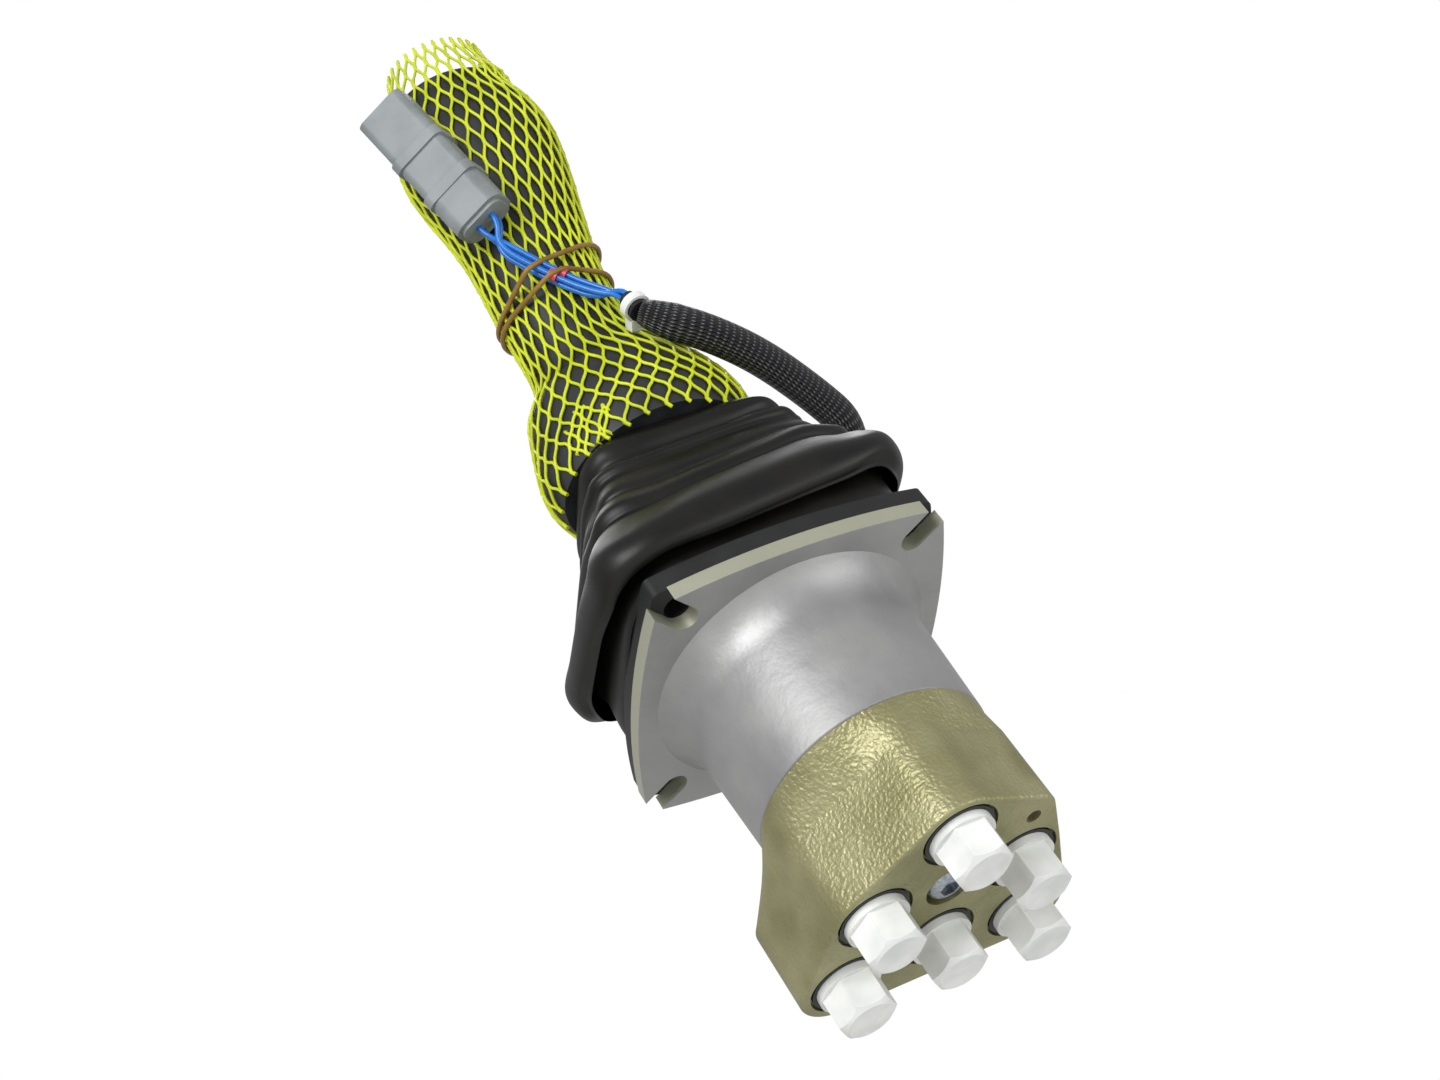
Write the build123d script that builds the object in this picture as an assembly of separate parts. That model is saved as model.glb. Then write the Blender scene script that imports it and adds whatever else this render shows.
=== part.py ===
"""Hydraulic pilot joystick valve, modelled in millimetres.

+Z runs up along the lever, the origin is the centre of the mounting flange's lower face, and -Y is
the front. The aluminium housing and the cast port body hang below the flange. Above it stand the
universal joint with its actuating disc, the rubber boot and the grip with its switch harness.
"""

import math
import os

from build123d import *

# ---- fits and clearances ----
RUNNING = 0.05  # radial, between parts that slide or turn
LOCATING = 0.1  # radial, between parts that only locate
TIP_GAP = 0.9  # plunger tip to actuating disc with the lever upright
END_GAP = 0.4  # what a moving part keeps from its end stop

# ---- mounting flange ----
FLANGE_HALF = 49.3  # half width at the corners
FLANGE_BOW = 5.0  # how far the middle of each side bulges out
FLANGE_T = 5.5
FLANGE_CORNER_R = 2.5
BOLT_HALF = 40.0  # half of the square bolt spacing
BOLT_SLOT_W = 9.0

# ---- aluminium housing ----
HOUSING_LEN = 52.4
HOUSING_R = 39.5  # at the joint with the cast body
HOUSING_DRAFT = 1.5  # how much wider the barrel is where the flare begins
FLARE_H, FLARE_BEND = 15.0, 20.0  # height and radius of the sweep from barrel to flange
LEDGE_DEPTH = 14.0  # from the flange's lower face to the ledge that carries the plunger plate
RECESS_R = 35.0
RIM_CHAMFER = 0.8

# ---- cast port body ----
BODY_LEN = 42.1
SHOULDER_H = 14.0  # height of the blend from the round joint to the port bosses
RING_R = 25.0  # circle of the working ports and of the valve cartridges
SUPPLY_X, SUPPLY_Y = 31.0, 30.0  # pressure and tank ports in the rear corners
BOSS_WALL = 3.2  # metal left round the supply ports' spotfaces
RING_WALL = 1.6  # metal left round the working ports' spotfaces
TOOL_HOLE_X, TOOL_HOLE_Y = 26.0, -19.0
TOOL_HOLE_R, TOOL_HOLE_D = 2.5, 9.0
TOOL_BOSS_R = 8.0
SPOT_R, SPOT_D = 12.5, 2.0
PORT_CORE_R, PORT_CORE_D = 5.9, 12.5
GALLERY_R, FEED_R = 1.8, 2.6
PRESSURE_GALLERY, TANK_GALLERY = 10.5, 18.5  # heights of the galleries above the port bores' ends
CAST_EDGE = 1.2

# ---- port plugs ----
PLUG_AF, PLUG_HEX_H = 17.0, 11.7
PLUG_COLLAR_R, PLUG_COLLAR_H = 10.25, 2.5
PLUG_STEM_L = 9.0
PLUG_CONE_IN, PLUG_CONE_TILT = 0.9, 35.0  # the cone that turns off the hexagon's corners
SEAL_OUT, SEAL_H = 11.6, 1.8

# ---- centre bolt ----
BOLT_R = 4.0
BOLT_HEAD_R, BOLT_HEAD_H = 6.8, 5.4
BOLT_WELL_R, BOLT_WELL_D = 7.8, 6.2
BOLT_HOLE_CLEAR = 0.4
BOLT_SOCKET_R, BOLT_SOCKET_D = 2.9, 2.6
WASHER_T, WASHER_R = 1.4, 7.3
BOLT_GRIP = 15.0  # length of thread inside the joint stud

# ---- valve cartridges ----
PLUNGER_R = 4.0
BUSH_R, BUSH_DROP = 7.0, 2.0
WIPER_R, WIPER_H = 5.8, 1.8
CHAMBER_R = 9.0
CHAMBER_FLOOR = 5.6  # depth of the spring chamber in the cast body
STROKE = 8.2  # plunger travel each way
SEAT_R, SEAT_H = 8.6, 3.0
SPOOL_R = 3.5
SPOOL_HEAD_R, SPOOL_HEAD_H = 4.8, 2.5
SPOOL_WAIST = 1.2
METERING_LEN = 10.4
METERING_R, METERING_WIRE, METERING_COILS = 3.6, 0.5, 4
RETURN_R, RETURN_WIRE, RETURN_COILS = 7.2, 0.8, 5
CHAMBER_SEAL_W, CHAMBER_SEAL_D = 2.4, 1.6

# ---- plunger plate ----
PLATE_T = 8.0

# ---- universal joint ----
PIVOT_Z = 8.0
TRUNNION_R = 3.0
CROSS_HALF = 5.0
EAR_IN, EAR_OUT = 6.0, 11.0
FIXED_EAR_R, MOVING_EAR_R = 5.0, 4.4
COLLAR_R, COLLAR_H = 11.5, 4.5
STUD_R, STUD_LEN = 6.0, 38.0
HUB_R = 12.0
HUB_RISE, HUB_T = 14.0, 5.0  # from the pivot to the hub's underside, and its thickness
YOKE_STUD_R, YOKE_STUD_L = 5.0, 21.0

# ---- actuating disc and lever ----
DISC_R, DISC_T = 31.0, 4.5
DISC_TOP_T = 3.0
DISC_WALL = 3.6
NUT_AF, NUT_H = 19.0, 8.0
STEM_R = 6.5
COUPLING_R, COUPLING_L = 9.0, 19.0
STEM_BEND_R = 40.0

# ---- boot and its frame ----
FRAME_T, FRAME_EXTRA = 7.0, -1.0
FRAME_HOLE_R = 33.0
FRAME_BOLT_R = 4.5
BOOT_WALL = 2.0
BOOT_NARROW = 7.0  # the bellows are this much less deep than wide, each side
BOOT_BACK = 6.0  # how far the bellows sit in front of the valve's axis
BOOT_LEFT, BOOT_SWAY = 2.5, 0.06  # sideways offset at the rim, and its change with height
BOOT_RISE_RIGHT, BOOT_RISE_REAR = 12.0, 20.0  # the rim climbs this much from its front left
BOOT_ROUND = 0.38  # corner radius as a share of the half width
HEM_HALF_W, HEM_HALF_D, HEM_R = 51.0, 43.0, 18.0
HEM_TOP = 31.0
NECK_R = 19.0

# ---- grip ----
LEAN = 15.0  # the grip leans this far to the front
LEAN_Z = 60.0  # where the leaning axis crosses the valve's axis
GRIP_WALL = 3.0
GRIP_SPLIT = 0.3
REST_TO = 72.0  # upper end of the hand rest along the leaning axis
TOP_T = 5.0
RIB_T, RIB_PLACES = 8.0, (98.0, 142.0)
SPIGOT_LOW, SPIGOT_L = 14.0, 22.0
BUTTON_R, BUTTON_H, BUTTON_RISE, BUTTON_SPAN = 6.0, 10.0, 3.5, 10.0
GRIP_SCREW_R, GRIP_SCREW_HEAD_R = 1.7, 2.9
GRIP_SCREW_L, GRIP_SCREW_HEAD_H, GRIP_SCREW_BACK = 16.0, 2.2, 11.6
GRIP_MIDDLE = -8.0  # split plane of the two halves
NET_CLEAR, NET_T = 0.3, 1.2

# ---- harness ----
LOOM_R, LOOM_END_R = 6.5, 4.0
ZIP_LOCK_SIDE = 1  # the tie's lock faces away from the grip
GROMMET_R = 9.5
ARC_SHARE = 0.45  # how much of the shorter run a corner's arc takes up
WIRE_R, WIRE_LEAD = 1.0, 4.0  # radius, and the straight lead at each end
WIRE_SPREAD_X, WIRE_SPREAD_OUT = 1.8, 1.5  # each wire's offset from the middle of the bundle
SPLICE_L = 3.2
SPLICES = {2: 3, 3: 3}  # the run of the route that carries the splice, on each wire that has one
BAND_R = 0.9
BAND_X, BAND_OUT = -8.5, 3.3  # the bands' centre, right and front of the leaning axis
BAND_HALF_W, BAND_HALF_D = 24.6, 25.2
CONNECTOR_W, CONNECTOR_T, CONNECTOR_L = 22.0, 18.0, 57.0
CONNECTOR_CAP_L = 15.0
CONNECTOR_WALL, SOCKET_D = 1.6, 20.0
CONNECTOR_ROLL = 38.0
PIN_R, PIN_L, PIN_X, PIN_Y = 0.8, 5.0, 3.2, 2.0
WEDGE_H = 5.0

PARTS = "parts"
os.makedirs(PARTS, exist_ok=True)

# ---- levels that follow from the sizes above ----
SIDES = {
    "front": (0.0, -RING_R),
    "right": (RING_R, 0.0),
    "rear": (0.0, RING_R),
    "left": (-RING_R, 0.0),
}
SUPPLY = [(-SUPPLY_X, SUPPLY_Y), (SUPPLY_X, SUPPLY_Y)]
PORTS = list(SIDES.values()) + SUPPLY
SEAM_Z = -HOUSING_LEN
PORT_Z = SEAM_Z - BODY_LEN
SPOT_Z = PORT_Z + SPOT_D
CORE_Z = SPOT_Z + PORT_CORE_D
LEDGE_Z = -LEDGE_DEPTH
PLATE_Z = LEDGE_Z + PLATE_T
FLOOR_Z = SEAM_Z - CHAMBER_FLOOR
TIP_Z = PIVOT_Z - TIP_GAP
SEAT_TOP = LEDGE_Z - BUSH_DROP - STROKE - END_GAP
SEAT_LOW = SEAT_TOP - SEAT_H
SPOOL_TOP = SEAT_LOW - METERING_LEN
SPOOL_LOW = SPOT_Z + PLUG_STEM_L + STROKE + END_GAP
COLLAR_Z = PLATE_Z + COLLAR_H
HUB_Z = PIVOT_Z + HUB_RISE
HUB_TOP = HUB_Z + HUB_T
DISC_TOP = HUB_TOP + DISC_TOP_T
NUT_TOP = DISC_TOP + NUT_H
YOKE_END = HUB_TOP + YOKE_STUD_L
FRAME_Z = FLANGE_T + FRAME_T
BOLT_SEAT = PORT_Z + BOLT_WELL_D
STUD_END = PLATE_Z - STUD_LEN


def save(node, *shapes):
    """Writes one node's STEP file."""
    solids = [solid for shape in shapes for solid in shape.solids()]
    export_step(Compound(children=solids) if len(solids) > 1 else solids[0], f"{PARTS}/{node}.step")


def rod(radius, low, high, x=0.0, y=0.0):
    """An upright cylinder from low to high."""
    return Pos(x, y, (low + high) / 2) * Cylinder(radius, high - low)


def tube(outer, inner, low, high, x=0.0, y=0.0):
    """An upright pipe from low to high."""
    return rod(outer, low, high, x, y) - rod(inner, low - 1, high + 1, x, y)


def hexagon(across_flats, low, high, x=0.0, y=0.0, turn=0.0):
    """An upright hexagonal prism."""
    face = RegularPolygon(across_flats / 2, 6, major_radius=False)
    return Pos(x, y, low) * Rot(0, 0, turn) * extrude(face, high - low)


def turned(*points):
    """A body of revolution about Z from (radius, height) points."""
    outline = make_face(Polyline(*[(r, 0, z) for r, z in points], close=True))
    return revolve(outline, Axis.Z)


def edges_at(shape, level, within=0.01):
    """The edges of a shape that lie in one horizontal plane."""
    return shape.edges().filter_by(lambda e: abs(e.center().Z - level) < within and e.bounding_box().size.Z < within)


# ------------------------------------------------------------------ valve body


def bowed_square(half):
    """A square whose sides bulge outwards, with rounded corners."""
    mid = half + FLANGE_BOW
    corners = [(-half, -half), (half, -half), (half, half), (-half, half)]
    mids = [(0, -mid), (mid, 0), (0, mid), (-mid, 0)]
    arcs = [ThreePointArc(corners[i], mids[i], corners[(i + 1) % 4]) for i in range(4)]
    face = make_face(arcs)
    return fillet(face.vertices(), FLANGE_CORNER_R)


def corner_slots(low, high):
    """Diagonal slots, open towards the corners, that take the mounting bolts."""
    reach = BOLT_HALF
    slot = Pos(reach / 2, 0, (low + high) / 2) * Box(reach, BOLT_SLOT_W, high - low)
    slot += rod(BOLT_SLOT_W / 2, low, high)
    turns = [(1, 1, 45), (-1, 1, 135), (-1, -1, 225), (1, -1, 315)]
    return [Pos(i * BOLT_HALF, j * BOLT_HALF, 0) * Rot(0, 0, turn) * slot for i, j, turn in turns]


def make_flange_housing():
    """Die-cast aluminium: bowed flange, flare and barrel, bored for the four cartridges."""
    barrel_top = HOUSING_R + HOUSING_DRAFT
    centre = barrel_top + FLARE_BEND
    open_r = centre - math.sqrt(FLARE_BEND**2 - FLARE_H**2)
    half_turn = math.asin(FLARE_H / FLARE_BEND) / 2
    middle = (centre - FLARE_BEND * math.cos(half_turn), FLARE_BEND * math.sin(half_turn) - FLARE_H)
    outline = make_face(
        [
            Line((0, FLANGE_T / 2), (open_r, FLANGE_T / 2)),
            Line((open_r, FLANGE_T / 2), (open_r, 0)),
            ThreePointArc((open_r, 0), middle, (barrel_top, -FLARE_H)),
            Line((barrel_top, -FLARE_H), (HOUSING_R, SEAM_Z)),
            Line((HOUSING_R, SEAM_Z), (0, SEAM_Z)),
            Line((0, SEAM_Z), (0, FLANGE_T / 2)),
        ]
    )
    housing = revolve(Plane.XZ * outline, Axis.Z)
    housing = chamfer(edges_at(housing, SEAM_Z), RIM_CHAMFER)
    flange = extrude(bowed_square(FLANGE_HALF), FLANGE_T)
    for slot in corner_slots(-FLANGE_T, 2 * FLANGE_T):
        flange -= slot
    housing += flange
    housing -= rod(RECESS_R, LEDGE_Z, FLANGE_T + 1)
    housing -= rod(STUD_R + LOCATING, STUD_END - END_GAP, LEDGE_Z + 1)
    housing -= rod(BOLT_R + BOLT_HOLE_CLEAR, SEAM_Z - 1, LEDGE_Z)
    for x, y in SIDES.values():
        housing -= rod(CHAMBER_R, SEAM_Z - 1, LEDGE_Z + 1, x, y)
    return housing


def port_outline():
    """The outline of the port face, drawn tight round the port bosses."""
    rings = [(x, y, SPOT_R + BOSS_WALL) for x, y in SUPPLY]
    rings += [(x, y, SPOT_R + RING_WALL) for x, y in (SIDES["left"], SIDES["front"], SIDES["right"])]
    rings.append((TOOL_HOLE_X, TOOL_HOLE_Y, TOOL_BOSS_R))
    arcs = [edge for x, y, r in rings for edge in CenterArc((x, y), r, 0, 360).edges()]
    return make_hull(arcs)


def drill(start, end, radius):
    """A round drilling between two points."""
    run = Vector(*end) - Vector(*start)
    middle = (Vector(*start) + Vector(*end)) * 0.5
    return Plane(origin=middle, z_dir=run) * Cylinder(radius, run.length)


def galleries():
    """Pressure and tank galleries: a square of drillings past the four spools, fed from a port."""
    spools = list(SIDES.values())
    cuts = []
    for (px, py), rise, nearest in ((SUPPLY[0], PRESSURE_GALLERY, 3), (SUPPLY[1], TANK_GALLERY, 1)):
        level = CORE_Z + rise
        for i in range(4):
            ax, ay = spools[i]
            bx, by = spools[(i + 1) % 4]
            cuts.append(drill((ax, ay, level), (bx, by, level), GALLERY_R))
        nx, ny = spools[nearest]
        cuts.append(drill((px, py, level), (nx, ny, level), GALLERY_R))
        cuts.append(rod(FEED_R, CORE_Z - 1, level, px, py))
    return cuts


def make_cast_body():
    """Cast iron port body: round at the joint, then swelling to the port bosses."""
    outline = port_outline()
    shoulder = SEAM_Z - SHOULDER_H
    lower = Pos(0, 0, PORT_Z) * extrude(outline, shoulder - PORT_Z)
    lower = fillet(lower.faces().sort_by(Axis.Z)[0].edges(), CAST_EDGE)
    body = lower + loft([Pos(0, 0, shoulder) * outline, Pos(0, 0, SEAM_Z) * Circle(HOUSING_R)])
    for x, y in PORTS:
        body -= rod(SPOT_R, PORT_Z - 1, SPOT_Z, x, y)
        body -= rod(PORT_CORE_R, PORT_Z, CORE_Z, x, y)
    for x, y in SIDES.values():
        body -= rod(CHAMBER_R, FLOOR_Z, SEAM_Z + 1, x, y)
        body -= rod(SPOOL_R + RUNNING, CORE_Z - 1, FLOOR_Z + 1, x, y)
        seal_out = CHAMBER_R + 0.8 + CHAMBER_SEAL_W
        body -= tube(seal_out, CHAMBER_R + 0.8, SEAM_Z - CHAMBER_SEAL_D, SEAM_Z + 1, x, y)
    for cut in galleries():
        body -= cut
    body -= rod(BOLT_WELL_R, PORT_Z - 1, BOLT_SEAT)
    body -= rod(BOLT_R + BOLT_HOLE_CLEAR, PORT_Z, SEAM_Z + 1)
    body -= rod(TOOL_HOLE_R, PORT_Z - 1, PORT_Z + TOOL_HOLE_D, TOOL_HOLE_X, TOOL_HOLE_Y)
    return body


def make_chamber_seal(x, y):
    """Face seal round one spring chamber, lying in its groove."""
    inner = CHAMBER_R + 0.8 + LOCATING
    outer = CHAMBER_R + 0.8 + CHAMBER_SEAL_W - LOCATING
    return tube(outer, inner, SEAM_Z - CHAMBER_SEAL_D, SEAM_Z, x, y)


def make_centre_bolt():
    """Socket screw with a domed head that clamps cast body, housing and plate together."""
    under = BOLT_SEAT - WASHER_T
    head = rod(BOLT_HEAD_R, under - BOLT_HEAD_H, under)
    head = fillet(edges_at(head, under - BOLT_HEAD_H), 0.7 * BOLT_HEAD_H)
    socket = hexagon(2 * BOLT_SOCKET_R, under - BOLT_HEAD_H - 1, under - BOLT_HEAD_H + BOLT_SOCKET_D)
    return head - socket + rod(BOLT_R, under - 0.5, STUD_END + BOLT_GRIP)


def make_bolt_washer():
    return tube(WASHER_R, BOLT_R + LOCATING, BOLT_SEAT - WASHER_T, BOLT_SEAT)


def plug_cone(end, collar):
    """The turned form that takes the hexagon's corners off at its end."""
    tip = PLUG_AF / 2 - PLUG_CONE_IN
    rise = (PLUG_AF - tip) * math.tan(math.radians(PLUG_CONE_TILT))
    return turned((0, end), (tip, end), (PLUG_AF, end + rise), (PLUG_AF, collar), (0, collar))


def make_port_plug(x, y):
    """Moulded port plug: hexagon with a coned end, collar and plain stem."""
    seat = SPOT_Z - SEAL_H
    collar = seat - PLUG_COLLAR_H
    end = collar - PLUG_HEX_H
    plug = hexagon(PLUG_AF, end, collar, x, y) & Pos(x, y, 0) * plug_cone(end, collar)
    plug += rod(PLUG_COLLAR_R, collar, seat, x, y)
    return plug + rod(PORT_CORE_R, seat, SPOT_Z + PLUG_STEM_L, x, y)


def make_plug_seal(x, y):
    return tube(SEAL_OUT, PORT_CORE_R, SPOT_Z - SEAL_H, SPOT_Z, x, y)


# ------------------------------------------------------------------ cartridges


def make_plunger_plate():
    """Steel plate on the housing's ledge that holds the guide bushes."""
    plate = rod(RECESS_R - LOCATING, LEDGE_Z, PLATE_Z)
    plate = chamfer(edges_at(plate, PLATE_Z), 1.0)
    plate -= rod(STUD_R, LEDGE_Z - 1, PLATE_Z + 1)
    for x, y in SIDES.values():
        plate -= rod(BUSH_R, LEDGE_Z - 1, PLATE_Z + 1, x, y)
    return plate


def make_guide_bush(x, y):
    """Bronze bush that guides a plunger and holds its wiper."""
    bush = tube(BUSH_R, PLUNGER_R + RUNNING, LEDGE_Z - BUSH_DROP, PLATE_Z, x, y)
    return bush - rod(WIPER_R, PLATE_Z - WIPER_H, PLATE_Z + 1, x, y)


def make_wiper(x, y):
    return tube(WIPER_R, PLUNGER_R + RUNNING, PLATE_Z - WIPER_H, PLATE_Z, x, y)


def make_plunger(x, y):
    """Hardened plunger with a spherical tip."""
    shank = rod(PLUNGER_R, SEAT_TOP, TIP_Z - PLUNGER_R, x, y)
    ball = Pos(x, y, TIP_Z - PLUNGER_R) * Sphere(PLUNGER_R)
    return shank + (ball & rod(2 * PLUNGER_R, TIP_Z - PLUNGER_R, TIP_Z + 1, x, y))


def make_spring_seat(x, y):
    """Hat-shaped seat between the plunger and its two springs."""
    seat = rod(SEAT_R, SEAT_LOW, SEAT_TOP, x, y)
    return chamfer(edges_at(seat, SEAT_TOP), 1.0)


def make_spool(x, y):
    """Metering spool: spring head, shank and control waist."""
    spool = rod(SPOOL_R, SPOOL_LOW, SPOOL_TOP, x, y)
    spool += rod(SPOOL_HEAD_R, SPOOL_TOP - SPOOL_HEAD_H, SPOOL_TOP, x, y)
    low = CORE_Z + PRESSURE_GALLERY + GALLERY_R
    high = CORE_Z + TANK_GALLERY - GALLERY_R
    return spool - tube(SPOOL_R + 1, SPOOL_R - SPOOL_WAIST, low, high, x, y)


def make_spring(mean_r, wire_r, coils, low, high, x, y):
    """A helical compression spring, between two seats."""
    length = high - low - 2 * wire_r
    path = Helix(pitch=length / coils, height=length, radius=mean_r)
    wire = Plane(path @ 0, z_dir=path % 0) * RegularPolygon(wire_r, 6)
    return Pos(x, y, low + wire_r) * sweep(wire, path, is_frenet=True)


# ------------------------------------------------------------------ universal joint


def ears(radius, reach):
    """A pair of ears on the X axis, from the pivot down (or up) by reach."""
    pair = []
    thick = EAR_OUT - EAR_IN
    for side in (-1, 1):
        centre = side * (EAR_IN + EAR_OUT) / 2
        eye = Rot(0, 90, 0) * Cylinder(radius, thick)
        post = Pos(0, 0, reach / 2) * Box(thick, 2 * radius, abs(reach))
        pair.append(Pos(centre, 0, PIVOT_Z) * (eye + post))
    return pair[0] + pair[1]


def pivot_bore(turn):
    return Pos(0, 0, PIVOT_Z) * turn * Cylinder(TRUNNION_R + RUNNING, 4 * EAR_OUT)


def make_joint_stud():
    """Fixed yoke of the universal joint; its stud holds plate, housing and cast body."""
    stud = rod(STUD_R, STUD_END, PLATE_Z) + rod(COLLAR_R, PLATE_Z, COLLAR_Z)
    stud += ears(FIXED_EAR_R, COLLAR_Z - PIVOT_Z)
    stud -= rod(BOLT_R, STUD_END - 1, STUD_END + BOLT_GRIP)
    return stud - pivot_bore(Rot(0, 90, 0))


def make_joint_cross():
    """Spider of the universal joint: a block with four trunnions."""
    block = chamfer(Box(2 * CROSS_HALF, 2 * CROSS_HALF, 2 * CROSS_HALF).edges(), 1.2)
    for turn in (Rot(0, 90, 0), Rot(90, 0, 0)):
        block += turn * Cylinder(TRUNNION_R, 2 * EAR_OUT)
    return Pos(0, 0, PIVOT_Z) * block


def make_upper_yoke():
    """Moving yoke; its stud carries the disc, the nut and the lever."""
    yoke = rod(HUB_R, HUB_Z, HUB_TOP) + rod(YOKE_STUD_R, HUB_TOP, YOKE_END)
    yoke += Rot(0, 0, 90) * ears(MOVING_EAR_R, HUB_Z - PIVOT_Z + 0.5)
    return yoke - pivot_bore(Rot(90, 0, 0))


def make_actuating_disc():
    """Turned hat-shaped disc, clamped on the yoke, whose flat rim pushes the plungers."""
    bore = HUB_R + LOCATING
    skirt = bore + DISC_WALL
    inner_rim = skirt + 1.5
    disc = turned(
        (DISC_R, PIVOT_Z),
        (DISC_R, PIVOT_Z + DISC_T),
        (skirt + 5.0, PIVOT_Z + DISC_T + 1.5),
        (skirt, HUB_Z + 1.5),
        (skirt, DISC_TOP),
        (YOKE_STUD_R, DISC_TOP),
        (YOKE_STUD_R, HUB_TOP),
        (bore, HUB_TOP),
        (bore, HUB_Z - 1.0),
        (inner_rim, PIVOT_Z + DISC_T),
        (inner_rim, PIVOT_Z),
    )
    rim = disc.edges().filter_by(lambda e: e.length > 2 * math.pi * (DISC_R - 0.1))
    return fillet(rim, 1.2)


def make_disc_nut():
    nut = hexagon(NUT_AF, DISC_TOP, NUT_TOP, turn=15)
    nut = nut & turned((0, DISC_TOP), (NUT_AF, DISC_TOP), (NUT_AF / 2 + 0.2, NUT_TOP), (0, NUT_TOP))
    return nut - rod(YOKE_STUD_R, DISC_TOP - 1, NUT_TOP + 1)


# ------------------------------------------------------------------ leaning axis


def lean_point(s, x=0.0, out=0.0):
    """A point at s along the leaning axis, x to the right and out to the front."""
    a = math.radians(LEAN)
    return (x, -s * math.sin(a) - out * math.cos(a), LEAN_Z + s * math.cos(a) - out * math.sin(a))


def lean_plane(s, x=0.0):
    """A plane square to the leaning axis; its x axis points right and its y axis to the rear."""
    a = math.radians(LEAN)
    return Plane(origin=lean_point(s, x), x_dir=(1, 0, 0), z_dir=(0, -math.sin(a), math.cos(a)))


# along the leaning axis: distance, centre x, half width, half depth
REST_SECTIONS = [
    (12.0, -3.0, 27.0, 24.0),
    (24.0, -3.0, 34.5, 30.0),
    (36.0, -3.0, 38.5, 33.5),
    (46.0, -2.5, 38.0, 33.0),
    (60.0, -3.5, 33.6, 29.4),
    (REST_TO, -3.0, 26.5, 23.5),
]
GRIP_SECTIONS = [
    (REST_TO, -3.0, 26.5, 23.5),
    (80.0, -5.2, 22.4, 20.0),
    (92.0, -7.6, 20.3, 18.4),
    (108.0, -8.6, 20.3, 18.2),
    (134.0, -7.2, 22.3, 19.6),
    (150.0, -6.8, 24.8, 21.8),
    (166.0, -7.2, 27.7, 24.2),
    (180.0, -7.5, 28.6, 25.0),
    (194.0, -7.5, 25.6, 22.2),
    (201.0, -7.7, 23.2, 20.2),
]
NET_TAIL = [(214.0, -7.6, 20.0, 17.5), (224.0, -6.8, 17.6, 15.4)]
GRIP_TOP = GRIP_SECTIONS[-1][0]
STEM_TO = 150.0


def grip_loft(sections, grow=0.0):
    return loft([lean_plane(s, x) * Ellipse(a + grow, b + grow) for s, x, a, b in sections])


def slab(low, high):
    """A thick slice square to the leaning axis."""
    return lean_plane((low + high) / 2) * Box(300, 300, high - low)


def stem_path():
    """Centre line of the lever: upright at first, then bent into the grip."""
    return FilletPolyline((0, 0, NUT_TOP), (0, 0, LEAN_Z), lean_point(STEM_TO, GRIP_MIDDLE), radius=STEM_BEND_R)


def stem_bar(radius):
    path = stem_path()
    return sweep(Plane(origin=path @ 0, z_dir=(0, 0, 1)) * Circle(radius), path)


def make_lever_stem():
    """Steel lever with a coupling sleeve over the yoke's stud."""
    stem = stem_bar(STEM_R)
    sleeve = rod(COUPLING_R, NUT_TOP, NUT_TOP + COUPLING_L)
    stem += chamfer(edges_at(sleeve, NUT_TOP + COUPLING_L), 1.5)
    return stem - rod(YOKE_STUD_R, NUT_TOP - 1, YOKE_END + END_GAP)


def below_rest():
    """Everything under the hand rest's lower rim, which lies flat on the boot's top."""
    return between(-BOOT_TOP, BOOT_TOP + END_GAP)


def make_hand_rest():
    """Moulded hand rest with the spigot that holds the boot's neck."""
    rest = grip_loft(REST_SECTIONS)
    rest -= grip_loft(REST_SECTIONS, -GRIP_WALL) & slab(REST_SECTIONS[0][0], REST_TO - GRIP_WALL)
    floor = grip_loft(REST_SECTIONS) & between(BOOT_TOP + END_GAP, BOOT_TOP + END_GAP + GRIP_WALL)
    rest = rest - below_rest() + floor
    rest += lean_plane(SPIGOT_LOW) * Pos(0, 0, SPIGOT_L / 2) * Cylinder(NECK_R, SPIGOT_L)
    return rest - stem_bar(STEM_R) - grommet_bore()


def hollow_grip():
    """The grip's moulded shell with the ribs that hold the lever, before it is split."""
    shell = grip_loft(GRIP_SECTIONS)
    room = grip_loft(GRIP_SECTIONS, -GRIP_WALL) & slab(REST_TO + GRIP_WALL, GRIP_TOP + 1)
    for s in RIB_PLACES:
        room -= slab(s - RIB_T / 2, s + RIB_T / 2)
    shell -= room
    for s in RIB_PLACES:
        shell -= grip_screw(s, 2 * GRIP_SCREW_L)
    return shell - stem_bar(STEM_R)


def make_grip_half(shell, side):
    """One half of the grip shell, split along the lever."""
    block = lean_plane(GRIP_TOP, GRIP_MIDDLE + side * (150 + GRIP_SPLIT / 2)) * Box(300, 300, 600)
    return shell & block


def grip_screw(s, head_h):
    """Screw through both halves at a rib, its head on the right."""
    axis = lean_plane(s, GRIP_MIDDLE) * Pos(0, GRIP_SCREW_BACK, 0) * Rot(0, 90, 0)
    head = rod(GRIP_SCREW_HEAD_R, GRIP_SCREW_L / 2, GRIP_SCREW_L / 2 + head_h)
    return axis * (Cylinder(GRIP_SCREW_R, GRIP_SCREW_L) + head)


def button_frame(side):
    return lean_plane(GRIP_TOP + TOP_T, GRIP_SECTIONS[-1][1] + side * BUTTON_SPAN)


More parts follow.
